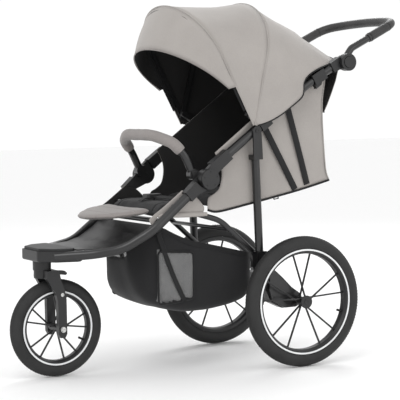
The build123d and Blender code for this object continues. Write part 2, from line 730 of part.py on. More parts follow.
# The axle beam joins both wheel arms; a stub axle stands out of each arm.
beam_inner = 194
beam_outer = 240
arm_outline = [
    (-132, 356), (-98, 356), (-94, 316), (-44, 272), (-12, 240), (14, 222), (18, 190), (-8, 178), (-48, 178),
    (-86, 196), (-108, 240), (-130, 304),
]
with BuildPart() as beam:
    across(cross_beam, cross_beam_radius, -beam_inner - 1, beam_inner + 1)
    for name, side in sides:
        slab(arm_outline, side * beam_inner, side * 226)
        slab([(-96, 300), (-44, 262), (-12, 234), (14, 218), (16, 190), (-8, 180), (-46, 180), (-84, 200), (-100, 240)],
             side * 226, side * beam_outer)
        across(rear_axle, 13, side * beam_outer, side * (track_half - 20 - running_gap))
        across(rear_axle, axle_radius, side * beam_outer, side * (track_half + 18))
        run([spot(side * leg_lane, onward(leg_foot, leg_slope + 180, 60)), spot(side * leg_lane, leg_foot)], [],
            2 * leg_radius + 2 * sleeve_gap, 2 * leg_radius + 2 * sleeve_gap, Mode.SUBTRACT)
save(beam, "rear_axle_beam")

with BuildPart() as pedal:
    across(cross_beam, cross_beam_radius + 5, -42, 42)
    slab([onward(cross_beam, 70, 15), (-34, 270), (2, 268), (14, 262), (14, 256), (-2, 260), (-32, 261),
          onward(cross_beam, 10, 15)], -58, 58)
    across(cross_beam, cross_beam_radius + running_gap, -70, 70, Mode.SUBTRACT)
save(pedal, "brake_pedal")

# Folding link: two curved tubes joined by a cross tube, hinged on the front side tubes.
link_bend = (-236, 455)
link_cross = (-205, 425)
with BuildPart() as link:
    for name, side in sides:
        run([spot(side * link_lane, link_front), spot(side * link_lane, link_bend), spot(side * link_lane, link_rear)],
            [120], link_width, link_height)
        across(link_front, 9.5, side * (link_lane - link_width / 2), side * (tube_inner - running_gap))
        across(link_rear, 9.5, side * (link_lane - link_width / 2), side * 193.4)
    across(link_cross, 6, -link_lane, link_lane)
save(link, "folding_link")

# ---- Canopy ----


def bow_plane(place, angle):
    """Plane across the part through a side place: its own x runs across, its own y runs out at the angle."""
    return Plane(origin=spot(0, place), x_dir=(1, 0, 0),
                 z_dir=(0, -sin(radians(angle)), cos(radians(angle))))


def arch_band(plane, half, reach, shoulder, thickness, foot):
    """A flat band bent into an arch: straight sides, an oval top."""
    with BuildSketch(plane) as band:
        for inset, base, mode in ((0, foot, Mode.ADD), (thickness, foot - 1, Mode.SUBTRACT)):
            spring = reach - inset - shoulder
            with BuildLine():
                Line((inset - half, base), (inset - half, spring))
                EllipticalCenterArc((0, spring), half - inset, shoulder, start_angle=0, arc_size=180)
                Line((half - inset, spring), (half - inset, base))
                Line((half - inset, base), (inset - half, base))
            make_face(mode=mode)
    return band.sketch


front_frame_angle = 117.4
rear_frame_angle = 75.6
for label, half, reach, angle in (
    ("canopy_front_bow", 227, 372, front_frame_angle), ("canopy_rear_bow", 221.5, 356, rear_frame_angle),
):
    with BuildPart() as bow:
        extrude(arch_band(bow_plane(canopy_pivot, angle), half, reach, 178, 5, -10), amount=7, both=True)
        for name, side in sides:
            across(canopy_pivot, 5 + pin_gap, side * 214, side * 230, Mode.SUBTRACT)
    save(bow, label)

with BuildPart() as front_cloth:
    loft([arch_band(bow_plane(canopy_tip, front_bow_angle - 0.1), canopy_half, front_bow_reach, 180, canopy_cloth, 14),
          arch_band(bow_plane(canopy_tip, rear_bow_angle + 0.1), canopy_half, rear_bow_reach, 180, canopy_cloth, 14)],
         ruled=True)
save(front_cloth, "canopy_front_cloth")

with BuildPart() as rear_cloth:
    loft([arch_band(bow_plane(canopy_tip, rear_bow_angle - 0.1), canopy_half, rear_bow_reach, 180, canopy_cloth, 14),
          arch_band(bow_plane(canopy_tip, 52), canopy_half, 394, 172, canopy_cloth, 14),
          arch_band(bow_plane(canopy_tip, rear_hem_angle), canopy_half, rear_hem_reach, 165, canopy_cloth, 14)],
         ruled=True)
    for name, side in sides:
        slab([(42, 800), (42, 866), (56, 888), (130, 926), (230, 950), (230, 800)], side * 190, side * 240,
             Mode.SUBTRACT)
save(rear_cloth, "canopy_rear_cloth")

with BuildPart() as visor:
    loft([arch_band(bow_plane(canopy_tip, front_bow_angle + 0.1), canopy_half, front_bow_reach, 180, canopy_cloth, 138),
          arch_band(bow_plane(visor_foot, visor_angle), canopy_half - 6, visor_reach, 180, canopy_cloth, 8)],
         ruled=True)
save(visor, "canopy_visor")

# ---- Bumper cover ----
with BuildPart() as bumper_cover:
    cover_route = [cover_start] + bumper_route_left[2:]
    cover_route += mirrored(cover_route, -1)[::-1]
    run(cover_route, [60, 120, 120, 60], 2 * bumper_cover_radius, 2 * bumper_cover_radius)
    run(cover_route, [60, 120, 120, 60], 2 * bumper_radius + 0.4, 2 * bumper_radius + 0.4, Mode.SUBTRACT)
save(bumper_cover, "bumper_cover")
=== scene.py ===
import json
from math import atan2, cos, exp, pi, radians, sin

import bmesh
import bpy
from mathutils import Matrix, Vector, noise


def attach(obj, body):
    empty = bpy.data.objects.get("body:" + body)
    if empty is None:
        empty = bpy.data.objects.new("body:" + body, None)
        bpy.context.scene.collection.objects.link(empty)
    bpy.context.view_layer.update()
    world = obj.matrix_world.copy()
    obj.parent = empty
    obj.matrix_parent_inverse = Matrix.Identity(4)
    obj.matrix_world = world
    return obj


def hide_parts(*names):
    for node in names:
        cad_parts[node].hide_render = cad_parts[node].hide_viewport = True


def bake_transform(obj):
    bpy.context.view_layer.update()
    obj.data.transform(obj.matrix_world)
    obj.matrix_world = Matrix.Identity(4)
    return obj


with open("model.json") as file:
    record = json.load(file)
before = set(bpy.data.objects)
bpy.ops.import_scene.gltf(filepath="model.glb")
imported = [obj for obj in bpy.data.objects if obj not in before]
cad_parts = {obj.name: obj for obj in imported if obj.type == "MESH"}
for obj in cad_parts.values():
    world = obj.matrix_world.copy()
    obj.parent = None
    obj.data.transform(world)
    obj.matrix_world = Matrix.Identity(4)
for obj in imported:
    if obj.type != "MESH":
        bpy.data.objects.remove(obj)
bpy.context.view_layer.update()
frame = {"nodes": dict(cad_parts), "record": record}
nodes = frame["nodes"]
bpy.ops.object.select_all(action="DESELECT")

rearAxleY = 0.1975
sides = (("Left", 1), ("Right", -1))


def at(x, back, up):  # millimetres across, back from the rear axle and up from the floor
    return Vector((x / 1000, rearAxleY + back / 1000, up / 1000))


def onward(place, angle, distance):
    return (place[0] + distance * cos(radians(angle)), place[1] + distance * sin(radians(angle)))


# ---- Camera, light and floor ----

view = {
    "azimuth": 61.147, "elevation": 3.801, "distance": 4.8007, "lens": 137.76, "roll": -0.93,
    "target": (0, -0.0071, 0.5058),
}
studio = {
    "floorColour": (0.93, 0.93, 0.93, 1), "worldColour": (1.0, 1.0, 1.0, 1), "worldStrength": 1.02,
    "keyPower": 40, "fillPower": 16, "rimPower": 40, "floorDrop": 0.0015,
}


def aimCamera():
    azimuth, elevation, roll = (radians(view[k]) for k in ("azimuth", "elevation", "roll"))
    back = Vector((sin(azimuth) * cos(elevation), -cos(azimuth) * cos(elevation), sin(elevation)))
    right = (-back).cross(Vector((0, 0, 1))).normalized()
    up = right.cross(-back)
    turnedRight = right * cos(roll) + up * sin(roll)
    turnedUp = up * cos(roll) - right * sin(roll)
    data = bpy.data.cameras.new("camera")
    data.lens = view["lens"]
    data.clip_end = 60
    camera = bpy.data.objects.new("camera", data)
    bpy.context.scene.collection.objects.link(camera)
    turn = Matrix((turnedRight, turnedUp, back)).transposed().to_4x4()
    camera.matrix_world = Matrix.Translation(Vector(view["target"]) + back * view["distance"]) @ turn
    bpy.context.scene.camera = camera


def addLamp(name, place, size, power, target=(0, 0, 0.5)):
    bpy.ops.object.light_add(type="AREA", location=place)
    lamp = bpy.context.object
    lamp.name = name
    lamp.data.shape = "DISK"
    lamp.data.size = size
    lamp.data.energy = power
    lamp.rotation_euler = (Vector(target) - Vector(place)).to_track_quat("-Z", "Y").to_euler()


def setStudio():
    world = bpy.data.worlds.new("studioSky")
    world.use_nodes = True
    sky = world.node_tree.nodes["Background"]
    sky.inputs["Color"].default_value = studio["worldColour"]
    sky.inputs["Strength"].default_value = studio["worldStrength"]
    bpy.context.scene.world = world
    bpy.context.scene.view_settings.view_transform = "Standard"
    addLamp("keyLamp", (2.2, -2.6, 3.2), 2.4, studio["keyPower"])
    addLamp("fillLamp", (3.6, 1.2, 1.6), 2.6, studio["fillPower"])
    addLamp("rimLamp", (-2.4, 2.4, 3.0), 2.0, studio["rimPower"])
    bpy.ops.mesh.primitive_plane_add(size=40, location=(0, 0, -studio["floorDrop"]))
    floor = bpy.context.object
    floor.name = "studioFloor"
    floor.data.transform(floor.matrix_world)
    floor.matrix_world = Matrix.Identity(4)
    paint = bpy.data.materials.new("floorPaint")
    paint.use_nodes = True
    shader = paint.node_tree.nodes["Principled BSDF"]
    shader.inputs["Base Color"].default_value = studio["floorColour"]
    shader.inputs["Roughness"].default_value = 0.7
    floor.data.materials.append(paint)


aimCamera()
setStudio()
print("camera and studio set")


# ---- Shader groups ----


def newGroup(name, inputs, outputs):
    group = bpy.data.node_groups.new(name, "ShaderNodeTree")
    for label, kind, value in inputs:
        socket = group.interface.new_socket(name=label, in_out="INPUT", socket_type=kind)
        if value is not None:
            socket.default_value = value
    for label, kind in outputs:
        group.interface.new_socket(name=label, in_out="OUTPUT", socket_type=kind)
    return group, group.nodes.new("NodeGroupInput"), group.nodes.new("NodeGroupOutput")


def put(tree, kind, spot, inputs=None, **settings):  # one node, its settings and what feeds it
    made = tree.nodes.new(kind)
    made.location = spot
    for key, value in settings.items():
        setattr(made, key, value)
    for key, value in (inputs or {}).items():
        if isinstance(value, bpy.types.NodeSocket):
            tree.links.new(value, made.inputs[key])
        else:
            made.inputs[key].default_value = value
    return made


def mathNode(tree, spot, operation, first, second=0.0, third=0.0):
    return put(tree, "ShaderNodeMath", spot, {0: first, 1: second, 2: third}, operation=operation).outputs[0]


def makeWeaveGroup():
    group, source, result = newGroup(
        "clothWeave",
        [("Vector", "NodeSocketVector", None), ("Threads", "NodeSocketFloat", 700.0),
         ("Melange", "NodeSocketFloat", 0.5)],
        [("Height", "NodeSocketFloat"), ("Shade", "NodeSocketFloat"), ("Nap", "NodeSocketFloat")],
    )
    scaled = put(group, "ShaderNodeVectorMath", (-900, 0), {0: source.outputs["Vector"]}, operation="SCALE")
    group.links.new(source.outputs["Threads"], scaled.inputs["Scale"])
    axes = put(group, "ShaderNodeSeparateXYZ", (-740, 0), {0: scaled.outputs[0]}).outputs
    total = None
    for n, (first, second) in enumerate(((0, 1), (1, 2), (2, 0))):  # crossing threads on any slope
        wave = mathNode(group, (-560, -160 * n), "SINE", axes[first])
        cross = mathNode(group, (-560, -160 * n - 80), "COSINE", axes[second])
        both = mathNode(group, (-400, -160 * n), "MULTIPLY", wave, cross)
        total = both if total is None else mathNode(group, (-240, -160 * n), "ADD", total, both)
    fuzz = put(group, "ShaderNodeTexNoise", (-560, 260),
               {"Vector": scaled.outputs[0], "Scale": 0.4, "Detail": 2.0})
    height = mathNode(group, (-80, 0), "MULTIPLY_ADD", total, 0.35, fuzz.outputs[0])
    broad = put(group, "ShaderNodeTexNoise", (-560, 480),
                {"Vector": source.outputs["Vector"], "Scale": 9.0, "Detail": 4.0})
    fleck = put(group, "ShaderNodeTexNoise", (-560, 700),
                {"Vector": source.outputs["Vector"], "Scale": 420.0, "Detail": 3.0, "Roughness": 0.7})
    mixed = put(group, "ShaderNodeMix", (-240, 420),
                {0: source.outputs["Melange"], 2: broad.outputs[0], 3: fleck.outputs[0]})
    shade = put(group, "ShaderNodeMapRange", (-80, 420), {0: mixed.outputs[0], 1: 0.3, 2: 0.7})
    group.links.new(height, result.inputs["Height"])
    group.links.new(shade.outputs[0], result.inputs["Shade"])
    group.links.new(broad.outputs[0], result.inputs["Nap"])
    return group


def makeGrainGroup():
    group, source, result = newGroup(
        "mouldGrain",
        [("Vector", "NodeSocketVector", None), ("Cells", "NodeSocketFloat", 600.0),
         ("Crease", "NodeSocketFloat", 0.3)],
        [("Height", "NodeSocketFloat"), ("Shade", "NodeSocketFloat"), ("Rub", "NodeSocketFloat")],
    )
    cells = put(group, "ShaderNodeTexVoronoi", (-600, 0), {"Vector": source.outputs["Vector"]},
                feature="SMOOTH_F1")
    group.links.new(source.outputs["Cells"], cells.inputs["Scale"])
    creases = put(group, "ShaderNodeTexNoise", (-600, -260),
                  {"Vector": source.outputs["Vector"], "Scale": 90.0, "Detail": 6.0})
    height = put(group, "ShaderNodeMix", (-300, 0),
                 {0: source.outputs["Crease"], 2: cells.outputs[0], 3: creases.outputs[0]})
    broad = put(group, "ShaderNodeTexNoise", (-600, 300),
                {"Vector": source.outputs["Vector"], "Scale": 14.0, "Detail": 5.0, "Roughness": 0.6})
    shade = put(group, "ShaderNodeMapRange", (-300, 300), {0: broad.outputs[0], 1: 0.35, 2: 0.7})
    rub = put(group, "ShaderNodeMapRange", (-300, 520), {0: broad.outputs[0], 1: 0.52, 2: 0.75})
    group.links.new(height.outputs[0], result.inputs["Height"])
    group.links.new(shade.outputs[0], result.inputs["Shade"])
    group.links.new(rub.outputs[0], result.inputs["Rub"])
    return group


weaveGroup = makeWeaveGroup()
grainGroup = makeGrainGroup()


# ---- Materials ----

clothLooks = {
    "greyCloth": {"light": (0.375, 0.350, 0.330, 1), "dark": (0.300, 0.280, 0.264, 1), "threads": 2600,
                  "melange": 0.55, "rough": 0.86, "bump": 0.12, "sheen": 0.25},
    "greyPadCloth": {"light": (0.270, 0.248, 0.238, 1), "dark": (0.205, 0.188, 0.180, 1), "threads": 2100,
                     "melange": 0.65, "rough": 0.88, "bump": 0.18, "sheen": 0.25},
    "blackCloth": {"light": (0.0180, 0.0180, 0.0192, 1), "dark": (0.0096, 0.0096, 0.0102, 1), "threads": 2200,
                   "melange": 0.5, "rough": 0.82, "bump": 0.20, "sheen": 0.12},
    # dark inner material: the real black liner inside the seat walls, back panel, flap and cushion walls, and painted
    # shade on the inside of the canopy
    "blackLinerAndPaintedShade": {"light": (0.0270, 0.0261, 0.0257, 1), "dark": (0.0158, 0.0153, 0.0153, 1), "threads": 2600,
                    "melange": 0.5, "rough": 0.85, "bump": 0.12, "sheen": 0.10},
    "webbing": {"light": (0.0144, 0.0144, 0.0150, 1), "dark": (0.0072, 0.0072, 0.0078, 1), "threads": 1500,
                "melange": 0.4, "rough": 0.70, "bump": 0.30, "sheen": 0.08},
    "bindingTape": {"light": (0.0132, 0.0132, 0.0138, 1), "dark": (0.0078, 0.0078, 0.0084, 1), "threads": 1800,
                    "melange": 0.4, "rough": 0.75, "bump": 0.20, "sheen": 0.08},
}
mouldLooks = {
    "framePaint": {"light": (0.0100, 0.0100, 0.0105, 1), "dark": (0.0055, 0.0055, 0.0060, 1), "cells": 1500,
                   "crease": 0.5, "rough": 0.30, "rub": 0.42, "bump": 0.03, "metal": 0.0, "coat": 0.25},
    "mouldedBlack": {"light": (0.0110, 0.0110, 0.0115, 1), "dark": (0.0065, 0.0065, 0.0070, 1), "cells": 1100,
                     "crease": 0.2, "rough": 0.42, "rub": 0.55, "bump": 0.10, "metal": 0.0, "coat": 0.0},
    "tyreRubber": {"light": (0.0204, 0.0204, 0.0204, 1), "dark": (0.0108, 0.0108, 0.0108, 1), "cells": 500,
                   "crease": 0.5, "rough": 0.72, "rub": 0.85, "bump": 0.15, "metal": 0.0, "coat": 0.0},
    "padRubber": {"light": (0.0132, 0.0132, 0.0138, 1), "dark": (0.0077, 0.0077, 0.0083, 1), "cells": 800,
                  "crease": 0.3, "rough": 0.55, "rub": 0.68, "bump": 0.12, "metal": 0.0, "coat": 0.0},
    "gripLeather": {"light": (0.0315, 0.0301, 0.0301, 1), "dark": (0.0168, 0.0161, 0.0161, 1), "cells": 420,
                    "crease": 0.35, "rough": 0.48, "rub": 0.60, "bump": 0.30, "metal": 0.0, "coat": 0.0},
    "brightSteel": {"light": (0.62, 0.62, 0.61, 1), "dark": (0.48, 0.48, 0.47, 1), "cells": 900,
                    "crease": 0.7, "rough": 0.24, "rub": 0.38, "bump": 0.04, "metal": 1.0, "coat": 0.0},
    "ringWhite": {"light": (0.82, 0.83, 0.83, 1), "dark": (0.70, 0.71, 0.72, 1), "cells": 700,
                  "crease": 0.2, "rough": 0.30, "rub": 0.40, "bump": 0.06, "metal": 0.0, "coat": 0.4},
}
materials = {}


def startMaterial(name):
    made = bpy.data.materials.new(name)
    made.use_nodes = True
    tree = made.node_tree
    shader = tree.nodes["Principled BSDF"]
    coords = put(tree, "ShaderNodeTexCoord", (-1100, 0)).outputs["Object"]
    materials[name] = made
    return made, tree, shader, coords


def makeCloth(name, look):
    made, tree, shader, coords = startMaterial(name)
    weave = put(tree, "ShaderNodeGroup", (-860, 0), node_tree=weaveGroup)
    tree.links.new(coords, weave.inputs["Vector"])
    weave.inputs["Threads"].default_value = look["threads"]
    weave.inputs["Melange"].default_value = look["melange"]
    colour = put(tree, "ShaderNodeMix", (-500, 200),
                 {0: weave.outputs["Shade"], 6: look["dark"], 7: look["light"]}, data_type="RGBA")
    rough = put(tree, "ShaderNodeMapRange", (-500, -40),
                {0: weave.outputs["Nap"], 3: look["rough"] - 0.06, 4: look["rough"] + 0.06})
    bump = put(tree, "ShaderNodeBump", (-500, -300),
               {"Strength": look["bump"], "Distance": 0.0006, "Height": weave.outputs["Height"]})
    tree.links.new(colour.outputs[2], shader.inputs["Base Color"])
    tree.links.new(rough.outputs[0], shader.inputs["Roughness"])
    tree.links.new(bump.outputs[0], shader.inputs["Normal"])
    shader.inputs["Sheen Weight"].default_value = look["sheen"]
    shader.inputs["Specular IOR Level"].default_value = 0.25
    return made


def makeMoulded(name, look):
    made, tree, shader, coords = startMaterial(name)
    grain = put(tree, "ShaderNodeGroup", (-860, 0), node_tree=grainGroup)
    tree.links.new(coords, grain.inputs["Vector"])
    grain.inputs["Cells"].default_value = look["cells"]
    grain.inputs["Crease"].default_value = look["crease"]
    colour = put(tree, "ShaderNodeMix", (-500, 200),
                 {0: grain.outputs["Shade"], 6: look["dark"], 7: look["light"]}, data_type="RGBA")
    rough = put(tree, "ShaderNodeMapRange", (-500, -40),
                {0: grain.outputs["Rub"], 3: look["rough"], 4: look["rub"]})
    bump = put(tree, "ShaderNodeBump", (-500, -300),
               {"Strength": look["bump"], "Distance": 0.0005, "Height": grain.outputs["Height"]})
    tree.links.new(colour.outputs[2], shader.inputs["Base Color"])
    tree.links.new(rough.outputs[0], shader.inputs["Roughness"])
    tree.links.new(bump.outputs[0], shader.inputs["Normal"])
    shader.inputs["Metallic"].default_value = look["metal"]
    shader.inputs["Coat Weight"].default_value = look["coat"]
    return made


def makeNet(name, size=300.0):  # open net: threads stay, the holes between them are clear
    made, tree, shader, coords = startMaterial(name)
    axes = put(tree, "ShaderNodeSeparateXYZ", (-900, 0), {0: coords}).outputs
    total = None
    for n, (first, sign) in enumerate(((1, 1.0), (1, -1.0))):
        lean = mathNode(tree, (-740, -160 * n), "MULTIPLY_ADD", axes[2], sign, axes[first])
        fine = mathNode(tree, (-650, -160 * n), "MULTIPLY", lean, size * 6.0)
        wave = mathNode(tree, (-560, -160 * n), "SINE", fine)
        edge = mathNode(tree, (-400, -160 * n), "GREATER_THAN", wave, 0.1)
        total = edge if total is None else mathNode(tree, (-240, 0), "MAXIMUM", total, edge)
    fade = put(tree, "ShaderNodeMapRange", (-80, 0), {0: total, 3: 0.25, 4: 0.75})
    tree.links.new(fade.outputs[0], shader.inputs["Alpha"])
    grey = put(tree, "ShaderNodeTexNoise", (-500, 300), {"Vector": coords, "Scale": 60.0, "Detail": 3.0})
    colour = put(tree, "ShaderNodeMix", (-260, 300),
                 {0: grey.outputs[0], 6: (0.16, 0.16, 0.16, 1), 7: (0.24, 0.24, 0.24, 1)}, data_type="RGBA")
    tree.links.new(colour.outputs[2], shader.inputs["Base Color"])
    shader.inputs["Roughness"].default_value = 0.7
    return made


for name, look in clothLooks.items():
    makeCloth(name, look)
for name, look in mouldLooks.items():
    makeMoulded(name, look)
makeNet("openNet")

slotFinish = {
    "frame_black": "framePaint", "plastic_black": "mouldedBlack", "cloth_grey": "greyCloth",
    "cloth_grey_dark": "greyPadCloth", "cloth_black": "blackCloth", "webbing_black": "webbing",
    "tyre_rubber": "tyreRubber", "reflector": "ringWhite", "grip_leather": "gripLeather",
    "rubber_black": "padRubber", "steel": "brightSteel",
}


def dressFrame():  # every CAD node takes the finish of its slot
    slotOf = {entry["node"]: entry["material_slot"] for entry in frame["record"]["subparts"]}
    for name, node in nodes.items():
        finish = materials[slotFinish[slotOf[name]]]
        if not node.data.materials:
            node.data.materials.append(finish)
        for n in range(len(node.data.materials)):
            node.data.materials[n] = finish


dressFrame()
print("materials made")


# ---- Shared shaping ----


def finishPiece(name, piece, finish, smooth=None):  # place into the mesh, normals, finish, shading
    piece.name = name
    piece.data.name = name
    piece.data.transform(piece.matrix_world)
    piece.matrix_world = Matrix.Identity(4)
    piece.data.materials.clear()
    for one in ([finish] if isinstance(finish, str) else finish):
        piece.data.materials.append(materials[one])
    if smooth is not None:
        pick(piece)
        bpy.ops.object.shade_smooth_by_angle(angle=radians(smooth))
    return piece


def pick(piece):
    bpy.ops.object.select_all(action="DESELECT")
    piece.select_set(True)
    bpy.context.view_layer.objects.active = piece


def finishOff(piece, kind, **settings):  # adds one modifier and applies it
    pick(piece)
    added = piece.modifiers.new(kind.lower(), kind)
    for key, value in settings.items():
        setattr(added, key, value)
    bpy.ops.object.modifier_apply(modifier=added.name)


def newPiece(name, points, faces):
    data = bpy.data.meshes.new(name)
    data.from_pydata(points, [], faces)
    piece = bpy.data.objects.new(name, data)
    bpy.context.scene.collection.objects.link(piece)
    return piece


def tidyNormals(piece, merge=0.00005):
    pick(piece)
    bpy.ops.object.mode_set(mode="EDIT")
    bpy.ops.mesh.select_all(action="SELECT")
    bpy.ops.mesh.remove_doubles(threshold=merge)
    bpy.ops.mesh.normals_make_consistent(inside=False)
    bpy.ops.object.mode_set(mode="OBJECT")


def evenLine(points, count):  # the same number of even steps along a smooth line through points
    points = [Vector(p) for p in points]
    dense = []
    for n in range(len(points) - 1):
        p0, p1, p2 = points[max(n - 1, 0)], points[n], points[n + 1]
        p3 = points[min(n + 2, len(points) - 1)]
        for step in range(24):
            t = step / 24
            dense.append(0.5 * (2 * p1 + (p2 - p0) * t + (2 * p0 - 5 * p1 + 4 * p2 - p3) * t * t
                                + (3 * p1 - p0 - 3 * p2 + p3) * t ** 3))
    dense.append(points[-1])
    return resample(dense, count)


def resample(dense, count):
    lengths = [0.0]
    for a, b in zip(dense, dense[1:]):
        lengths.append(lengths[-1] + (b - a).length)
    even, n = [], 0
    for k in range(count):
        want = lengths[-1] * k / (count - 1)
        while n < len(dense) - 2 and lengths[n + 1] < want:
            n += 1
        span = max(lengths[n + 1] - lengths[n], 1e-9)
        even.append(dense[n].lerp(dense[n + 1], min(max((want - lengths[n]) / span, 0), 1)))
    return even


def roundedRun(points, radii, steps=8):  # straight runs joined by arcs
    points = [Vector(p) for p in points]
    line = [points[0]]
    for before, corner, after, radius in zip(points, points[1:], points[2:], radii):
        a, b = (before - corner).normalized(), (after - corner).normalized()
        half = a.angle(b) / 2
        reach = radius / 1000 / max(abs(sin(half) / max(cos(half), 1e-6)), 1e-6)
        reach = min(reach, (before - corner).length * 0.5, (after - corner).length * 0.5)
        start, end = corner + a * reach, corner + b * reach
        for n in range(steps + 1):
            t = n / steps
            line.append(start * (1 - t) ** 2 + corner * 2 * t * (1 - t) + end * t * t)
    line.append(points[-1])
    return line


def gridPiece(name, rows, closed=False):  # one skin through rows of points
    count = len(rows[0])
    faces = []
    for r in range(len(rows) - 1):
        for c in range(count if closed else count - 1):
            d = (c + 1) % count
            faces.append((r * count + c, r * count + d, (r + 1) * count + d, (r + 1) * count + c))
    return newPiece(name, [p for row in rows for p in row], faces)


def patchPiece(name, bottom, top, left, right, across, upward, swell=None):  # a skin between four edges
    bottom, top = evenLine(bottom, across), evenLine(top, across)
    left, right = evenLine(left, upward), evenLine(right, upward)
    rows = []
    for r in range(upward):
        v = r / (upward - 1)
        row = []
        for c in range(across):
            u = c / (across - 1)
            point = (bottom[c] * (1 - v) + top[c] * v + left[r] * (1 - u) + right[r] * u
                     - (bottom[0] * (1 - u) * (1 - v) + bottom[-1] * u * (1 - v)
                        + top[0] * (1 - u) * v + top[-1] * u * v))
            row.append(point + swell(u, v) if swell else point)
        rows.append(row)
    return gridPiece(name, rows)


tapeSection = ((1, 0.3), (0.94, 1), (-0.94, 1), (-1, 0.3), (-1, -0.3), (-0.94, -1), (0.94, -1), (1, -0.3))


def bandPiece(name, line, width, thickness, wide):  # flat tape along a line; wide is its width's way
    rows = []
    for n, point in enumerate(line):
        along = (line[min(n + 1, len(line) - 1)] - line[max(n - 1, 0)]).normalized()
        side = wide(n / (len(line) - 1)) if callable(wide) else Vector(wide)
        side = (side - along * side.dot(along)).normalized() * width / 2000
        out = along.cross(side).normalized() * thickness / 2000
        rows.append([point + side * a + out * b for a, b in tapeSection])
    piece = gridPiece(name, rows, closed=True)
    capEnds(piece, len(rows), 8)
    return piece


def capEnds(piece, rows, count):
    mesh = bmesh.new()
    mesh.from_mesh(piece.data)
    mesh.verts.ensure_lookup_table()
    mesh.faces.new([mesh.verts[n] for n in range(count)][::-1])
    mesh.faces.new([mesh.verts[(rows - 1) * count + n] for n in range(count)])
    bmesh.ops.recalc_face_normals(mesh, faces=mesh.faces)
    mesh.to_mesh(piece.data)
    mesh.free()


def tubePiece(name, line, radius, around=14, squeeze=1.0, ends=True):  # radius in millimetres, or f(share)
    rows, lift = [], Vector((0, 0, 1))
    for n, point in enumerate(line):
        along = (line[min(n + 1, len(line) - 1)] - line[max(n - 1, 0)]).normalized()
        if n == 0 and abs(along.z) > 0.9:
            lift = Vector((1, 0, 0))
        lift = (lift - along * lift.dot(along)).normalized()
        side = along.cross(lift)
        size = (radius(n / (len(line) - 1)) if callable(radius) else radius) / 1000
        rows.append([point + (lift * cos(2 * pi * k / around) * squeeze + side * sin(2 * pi * k / around)) * size
                     for k in range(around)])
    piece = gridPiece(name, rows, closed=True)
    if ends:
        capEnds(piece, len(rows), around)
    return piece


def ripple(piece, height, size, stretch=(1, 1, 1), seed=0.0):  # shallow wrinkles along the normals
    piece.data.update()
    shift = [v.normal * noise.noise(Vector((v.co.x * stretch[0] + seed, v.co.y * stretch[1],
                                            v.co.z * stretch[2])) / size) * height / 1000
             for v in piece.data.vertices]
    for v, move in zip(piece.data.vertices, shift):
        v.co += move


def thicken(piece, thickness, offset=0.0, inner=None):
    settings = {"thickness": thickness / 1000, "offset": offset, "use_even_offset": False}
    if inner is not None:
        settings["material_offset"] = inner
    finishOff(piece, "SOLIDIFY", **settings)


def prism(name, outline, x0, x1):  # a side outline carried across, for a pad before it swells
    points = [at(x0, *p) for p in outline] + [at(x1, *p) for p in outline]
    n = len(outline)
    faces = [list(range(n))[::-1], list(range(n, 2 * n))]
    faces += [(k, (k + 1) % n, (k + 1) % n + n, k + n) for k in range(n)]
    piece = newPiece(name, points, faces)
    tidyNormals(piece)
    return piece


def inflate(piece, voxel, pressure, cap, rounds=20):  # closed cloth puffed by air, then held within the cap
    finishOff(piece, "REMESH", mode="VOXEL", voxel_size=voxel / 1000)
    before = [v.co.copy() for v in piece.data.vertices]
    pick(piece)
    puff = piece.modifiers.new("puff", "CLOTH")
    puff.settings.quality = 6
    puff.settings.mass = 0.3
    puff.settings.use_pressure = True
    puff.settings.uniform_pressure_force = pressure
    puff.settings.effector_weights.gravity = 0
    for step in range(1, rounds + 1):
        bpy.context.scene.frame_set(step)
    bpy.ops.object.modifier_apply(modifier=puff.name)
    bpy.context.scene.frame_set(1)
    for v, old in zip(piece.data.vertices, before):
        move = v.co - old
        if move.length > cap / 1000:
            v.co = old + move.normalized() * cap / 1000
    finishOff(piece, "SMOOTH", factor=0.6, iterations=8)
    finishOff(piece, "SUBSURF", levels=1, render_levels=1)


def channel(piece, distance, depth, width, facing=None):  # a sewn line: distance(point) is 0 along it
    piece.data.update()
    places = [(v.co.copy(), v.normal.copy()) for v in piece.data.vertices]
    for v, (place, normal) in zip(piece.data.vertices, places):
        if facing is None or normal.dot(facing) > 0.2:
            off = distance(place) * 1000 / width
            v.co = place - normal * exp(-off * off) * depth / 1000


# ---- Canopy: one curved skin in three lengths that meet on the bows ----

canopy = {
    "tip": (-140, 733), "half": 231.5, "thickness": 1.6, "across": 65, "foot": 8,
    "frontAngle": 116.8, "frontReach": 421, "rearAngle": 77.6, "rearReach": 396, "shoulder": 180,
    "visorFoot": (-216, 846), "visorAngle": 143, "visorReach": 215, "sag": 9, "piping": 1.9,
}


def archRow(centre, angle, half, reach, shoulder, foot, count):  # left foot, over the top, right foot
    spring = reach - shoulder
    line = [(-half, foot), (-half, spring * 0.5 + foot * 0.5)]
    line += [(-half * cos(pi * n / 48), spring + shoulder * sin(pi * n / 48)) for n in range(49)]
    line += [(half, spring * 0.5 + foot * 0.5), (half, foot)]
    out = (cos(radians(angle)), sin(radians(angle)))
    dense = [at(-u, centre[0] + out[0] * w, centre[1] + out[1] * w) for u, w in line]
    return resample(dense, count)


def hemRow(count):  # the rear edge: along the tube, up the notch, over the back
    left = [(231, -129, 739), (233, -86, 751), (234.5, -50, 768), (235, -21, 787), (234, 12, 808), (233, 34, 826),
            (233, 37, 848), (232.5, 38, 868), (232, 54, 888), (228, 90, 907), (214, 138, 922), (192, 176, 929)]
    for u in (170, 150, 125, 100, 75, 50, 25):
        w = 275 + 165 * (1 - (u / 231.5) ** 2) ** 0.5
        left.append((u, -140 + 0.8634 * w, 733 + 0.5045 * w))
    left.append((0, 239.9, 955))
    line = left + [(-x, b, u) for x, b, u in left[:-1][::-1]]
    return evenLine([at(*p) for p in line], count)


